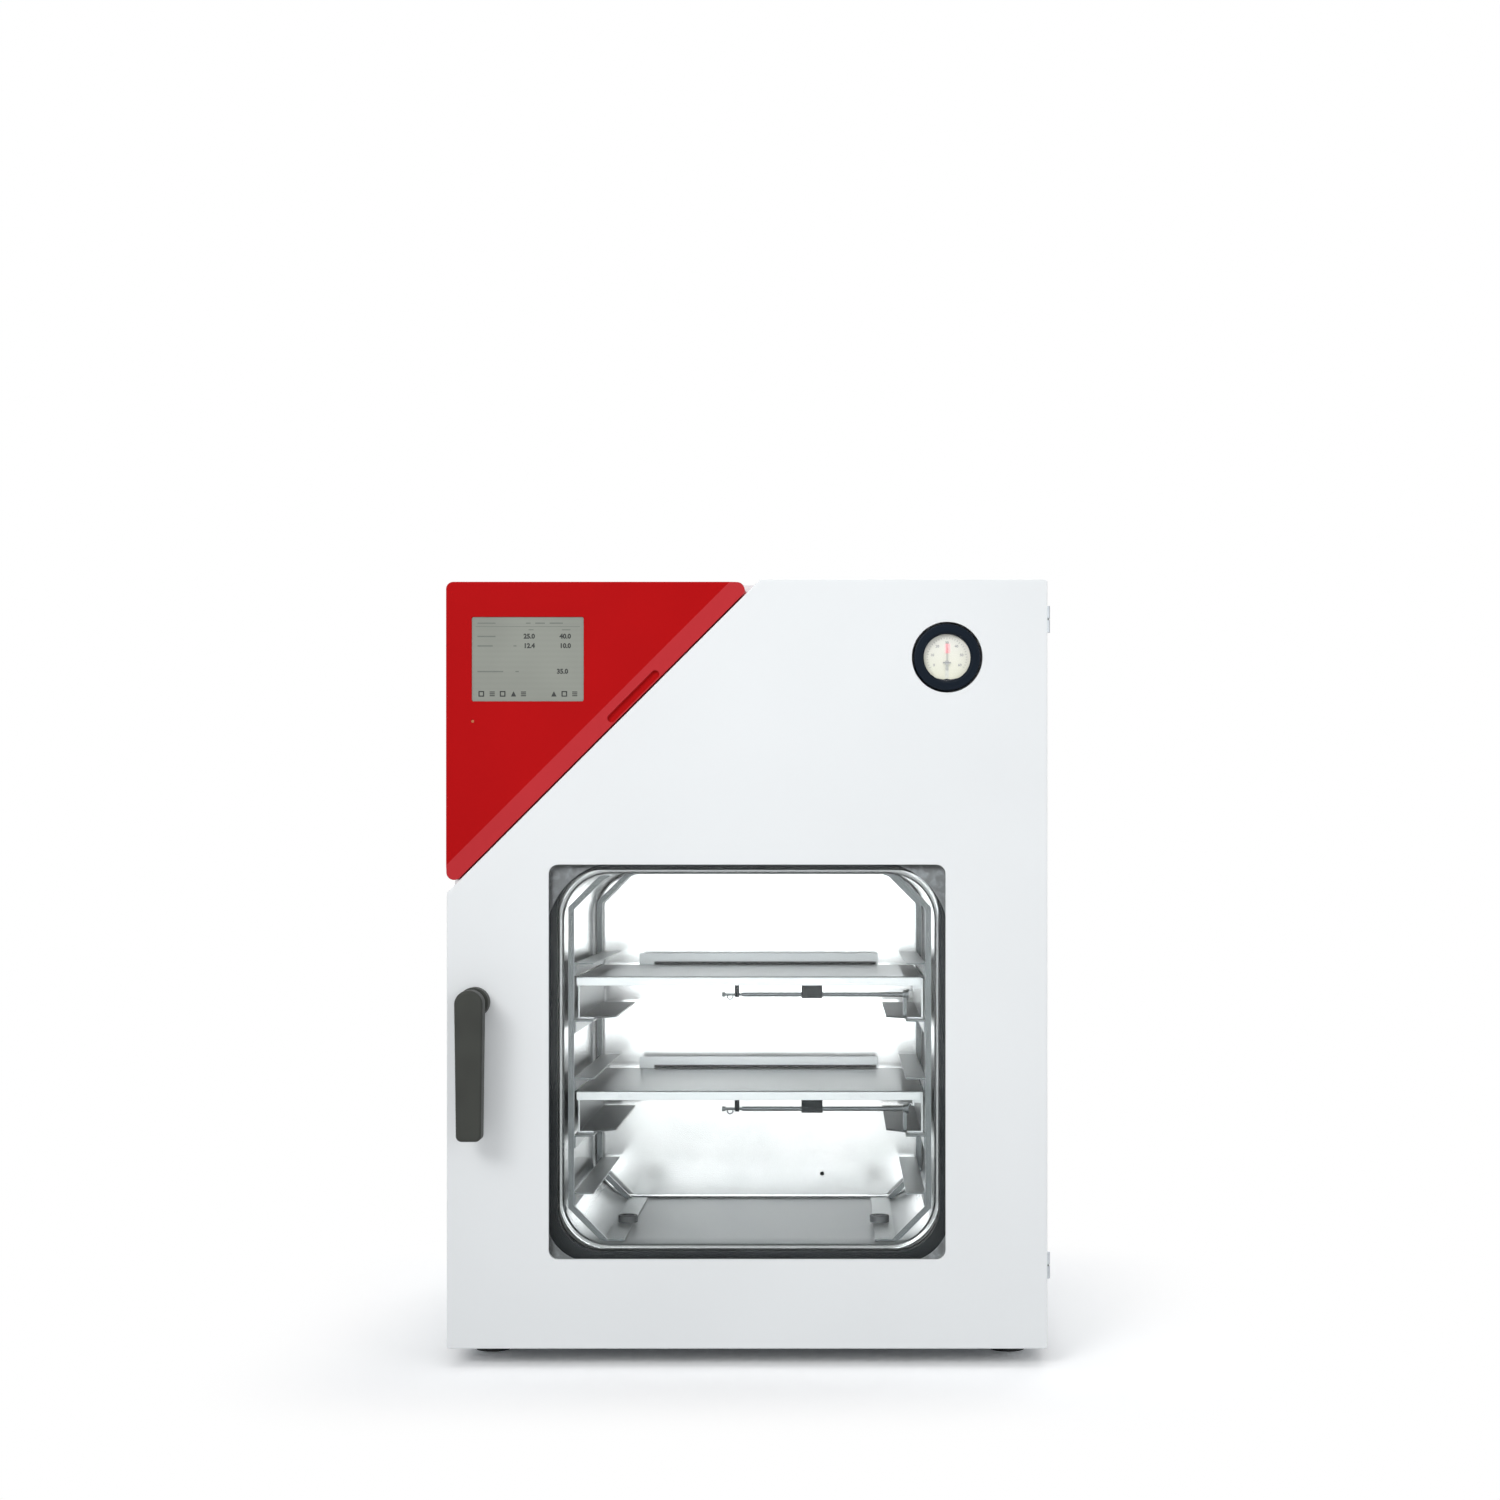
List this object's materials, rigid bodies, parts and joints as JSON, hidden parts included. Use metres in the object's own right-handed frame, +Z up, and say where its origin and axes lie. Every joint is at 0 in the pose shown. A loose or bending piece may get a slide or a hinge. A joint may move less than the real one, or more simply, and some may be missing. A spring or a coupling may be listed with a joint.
{
  "type": "vacuum drying oven",
  "caption": "Bench-top vacuum drying oven: square chamber behind a glazed right-hinged door, triangular control cover, round gauge, clamped shelves.",
  "frame": {"origin": "centre of the part's footprint, on the surface that the feet stand on", "axes": "+X to the right seen from the front, +Y to the rear, +Z up; the door faces -Y"},
  "size_m": [0.6415, 0.624, 0.831],
  "materials": {
    "white_powder_coat": "fine-textured white powder coat on sheet steel",
    "chamber_steel": "polished stainless steel",
    "zinc_steel": "zinc-plated steel",
    "shelf_aluminium": "rolled aluminium sheet",
    "red_cover": "moulded red plastic with a fine grain",
    "black_plastic": "moulded black plastic",
    "anthracite_plastic": "moulded anthracite plastic",
    "display_glass": "grey-green display behind clear glass",
    "clear_glass": "clear tempered glass",
    "clear_sheet": "clear polycarbonate sheet",
    "feet_rubber": "moulded black rubber",
    "gasket_silicone": "extruded black silicone",
    "dial_enamel": "printed off-white dial",
    "needle_black": "blackened needle",
    "circuit_board": "glass-fibre circuit board",
    "mineral_wool": "mineral wool",
    "heater_silicone": "silicone heater mat",
    "brass": "turned brass",
    "lamp": "amber lamp lens"
  },
  "bodies": {
    "housing": {"outer_jacket": "white_powder_coat", "base_pan": "zinc_steel", "rubber_feet": "feet_rubber", "housing_screws": "zinc_steel", "front_frame": "white_powder_coat", "rear_panel": "white_powder_coat", "inner_chamber": "chamber_steel", "chamber_gasket": "gasket_silicone", "flange_nuts": "zinc_steel", "chamber_saddle": "zinc_steel", "heater_mats": "heater_silicone", "temperature_sensor": "chamber_steel", "insulation_wrap": "mineral_wool", "compartment_floor": "zinc_steel", "control_board": "circuit_board", "power_supply": "zinc_steel", "vacuum_manifold": "shelf_aluminium", "solenoid_valves": "brass", "vacuum_port": "chamber_steel", "gas_inlet_port": "brass", "vacuum_pipes": "chamber_steel", "mains_inlet": "black_plastic", "switch_frame": "black_plastic", "control_panel": "red_cover", "touch_screen": "display_glass", "display_board": "circuit_board", "status_led": "lamp", "gauge_case": "black_plastic", "gauge_dial": "dial_enamel", "gauge_lens": "clear_sheet", "latch_keeper": "zinc_steel", "housing_hinge_halves": "zinc_steel", "hinge_pins": "chamber_steel", "left_rack_frame": "chamber_steel", "right_rack_frame": "chamber_steel", "rack_knobs": "black_plastic", "clamp_blocks": "black_plastic", "lower_tray": "shelf_aluminium", "upper_tray": "shelf_aluminium"},
    "door": {"door_skin": "white_powder_coat", "door_inner_panel": "chamber_steel", "gauge_collar": "white_powder_coat", "outer_pane": "clear_sheet", "pane_glazing": "zinc_steel", "pane_carrier": "black_plastic", "inner_pane": "clear_glass", "spring_rails": "zinc_steel", "pane_bolts": "zinc_steel", "pane_springs": "chamber_steel", "door_hinge_halves": "zinc_steel", "handle_boss": "anthracite_plastic"},
    "handle": {"lever_handle": "anthracite_plastic", "handle_spindle": "zinc_steel", "latch_cam": "zinc_steel"},
    "gauge_needle": {"gauge_pointer": "needle_black"},
    "power_rocker": {"switch_rocker": "black_plastic"},
    "upper_clamp": {"upper_clamp_rod": "chamber_steel"},
    "upper_shelf_shoe": {"upper_shoe": "shelf_aluminium"},
    "lower_clamp": {"lower_clamp_rod": "chamber_steel"},
    "lower_shelf_shoe": {"lower_shoe": "shelf_aluminium"}
  },
  "joints": [
    {"name": "door_swing", "type": "hinge", "parent": "housing", "child": "door", "pos_m": [0.321, -0.2105, 0.425], "axis": [0, 0, 1], "range_deg": [0, 175]},
    {"name": "handle_turn", "type": "hinge", "parent": "door", "child": "handle", "pos_m": [-0.287, -0.264, 0.385], "axis": [0, -1, 0], "range_deg": [0, 90]},
    {"name": "needle_turn", "type": "hinge", "parent": "housing", "child": "gauge_needle", "pos_m": [0.2112, -0.258, 0.7435], "axis": [0, 1, 0], "range_deg": [-90, 90]},
    {"name": "rocker_tilt", "type": "hinge", "parent": "housing", "child": "power_rocker", "pos_m": [-0.165, 0.277, 0.655], "axis": [-1, 0, 0], "range_deg": [0, 16]},
    {"name": "upper_clamp_turn", "type": "hinge", "parent": "housing", "child": "upper_clamp", "pos_m": [0.07, -0.171, 0.38755], "axis": [-1, 0, 0], "range_deg": [0, 90]},
    {"name": "upper_shoe_slide", "type": "slide", "parent": "housing", "child": "upper_shelf_shoe", "axis": [-1, 0, 0], "range_m": [0, 0.003]},
    {"name": "lower_clamp_turn", "type": "hinge", "parent": "housing", "child": "lower_clamp", "pos_m": [0.07, -0.171, 0.26255], "axis": [-1, 0, 0], "range_deg": [0, 90]},
    {"name": "lower_shoe_slide", "type": "slide", "parent": "housing", "child": "lower_shelf_shoe", "axis": [-1, 0, 0], "range_m": [0, 0.003]}
  ],
  "couplings": [
    {"joint": "upper_shoe_slide", "follows": "upper_clamp_turn", "m_per_rad": 0.0019098},
    {"joint": "lower_shoe_slide", "follows": "lower_clamp_turn", "m_per_rad": 0.0019098}
  ]
}
